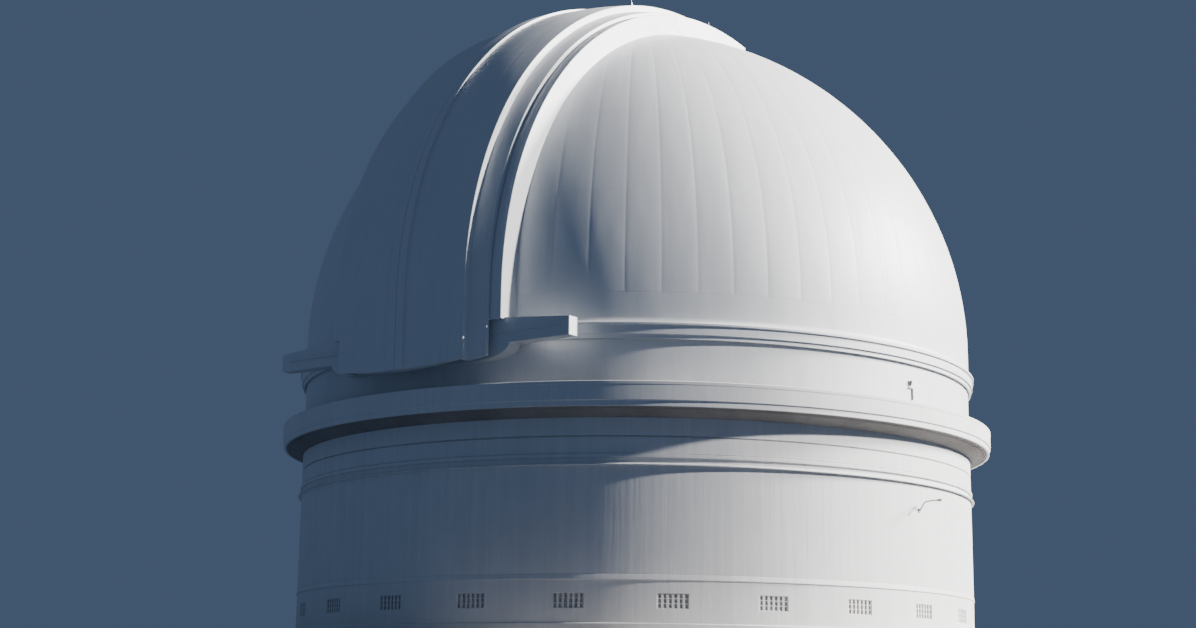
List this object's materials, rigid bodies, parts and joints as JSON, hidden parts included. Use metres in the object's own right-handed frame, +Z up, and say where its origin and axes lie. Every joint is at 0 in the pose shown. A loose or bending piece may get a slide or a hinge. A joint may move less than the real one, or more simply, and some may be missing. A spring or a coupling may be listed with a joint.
{
  "type": "observatory dome, 1:2 scale model",
  "caption": "Hemispherical rotating dome with two arched sliding shutters on a round rendered building, with a walkway parapet, belt moulding and grille openings.",
  "frame": {"origin": "on the dome's vertical axis at ground level, in the underside of the ground slab", "axes": "+Z up along the turning axis, -Y out through the slit, X along the front rail beam"},
  "size_m": [22.17, 22.445, 20.6541],
  "materials": {
    "bare_concrete": "floated bare concrete, matt",
    "wall_render": "matt off-white painted render on concrete, faint mottling",
    "soffit_render": "matt grey-white painted concrete",
    "parapet_render": "smooth matt white painted render",
    "painted_steel": "satin grey paint on steel",
    "rail_steel": "worn bare rail steel",
    "grey_steel": "grey primer on structural steel",
    "drum_paint": "semi-gloss white paint on steel plate",
    "beam_paint": "semi-gloss white paint on steel plate",
    "arch_paint": "semi-gloss white paint on steel plate",
    "dome_paint": "semi-gloss white paint on welded steel plates, faint seams and dirt streaks",
    "shutter_paint": "semi-gloss white paint on steel plate"
  },
  "bodies": {
    "building": {"ground_slab": "bare_concrete", "base_wall_front_left": "wall_render", "base_wall_front_right": "wall_render", "base_wall_right_front": "wall_render", "base_wall_right_rear": "wall_render", "base_wall_rear_right": "wall_render", "base_wall_rear_left": "wall_render", "base_wall_left_rear": "wall_render", "base_wall_left_front": "wall_render", "door_frame": "painted_steel", "door_leaf_left": "painted_steel", "door_leaf_right": "painted_steel", "upper_wall_front_left": "wall_render", "upper_wall_front_right": "wall_render", "upper_wall_right_front": "wall_render", "upper_wall_right_rear": "wall_render", "upper_wall_rear_right": "wall_render", "upper_wall_rear_left": "wall_render", "upper_wall_left_rear": "wall_render", "upper_wall_left_front": "wall_render", "walkway_front": "soffit_render", "walkway_right": "soffit_render", "walkway_rear": "soffit_render", "walkway_left": "soffit_render", "parapet_front": "parapet_render", "parapet_right": "parapet_render", "parapet_rear": "parapet_render", "parapet_left": "parapet_render", "circular_rail": "rail_steel"},
    "dome": {"ring_girder": "grey_steel", "drum_wall_front": "drum_paint", "drum_wall_right": "drum_paint", "drum_wall_rear": "drum_paint", "drum_wall_left": "drum_paint", "belt_moulding": "drum_paint", "front_rail_beam": "beam_paint", "beam_end_left": "beam_paint", "beam_end_right": "beam_paint", "front_shutter_rail": "rail_steel", "slit_arch_left": "arch_paint", "slit_arch_right": "arch_paint", "rear_curb": "arch_paint", "dome_shell_front_left": "dome_paint", "dome_shell_front_right": "dome_paint", "dome_shell_rear_left": "dome_paint", "dome_shell_rear_right": "dome_paint", "dome_shell_rear": "dome_paint"},
    "left_leaf": {"shutter_leaf_left": "shutter_paint"},
    "right_leaf": {"shutter_leaf_right": "shutter_paint", "lightning_rod_front": "grey_steel", "lightning_rod_rear": "grey_steel"}
  },
  "joints": [
    {"name": "dome_turn", "type": "hinge", "parent": "building", "child": "dome", "pos_m": [0, 0, 6.27], "axis": [0, 0, 1], "continuous": true},
    {"name": "left_leaf_slide", "type": "slide", "parent": "dome", "child": "left_leaf", "axis": [-1, 0, 0], "range_m": [0, 2.3]},
    {"name": "right_leaf_slide", "type": "slide", "parent": "dome", "child": "right_leaf", "axis": [1, 0, 0], "range_m": [0, 2.3]}
  ]
}
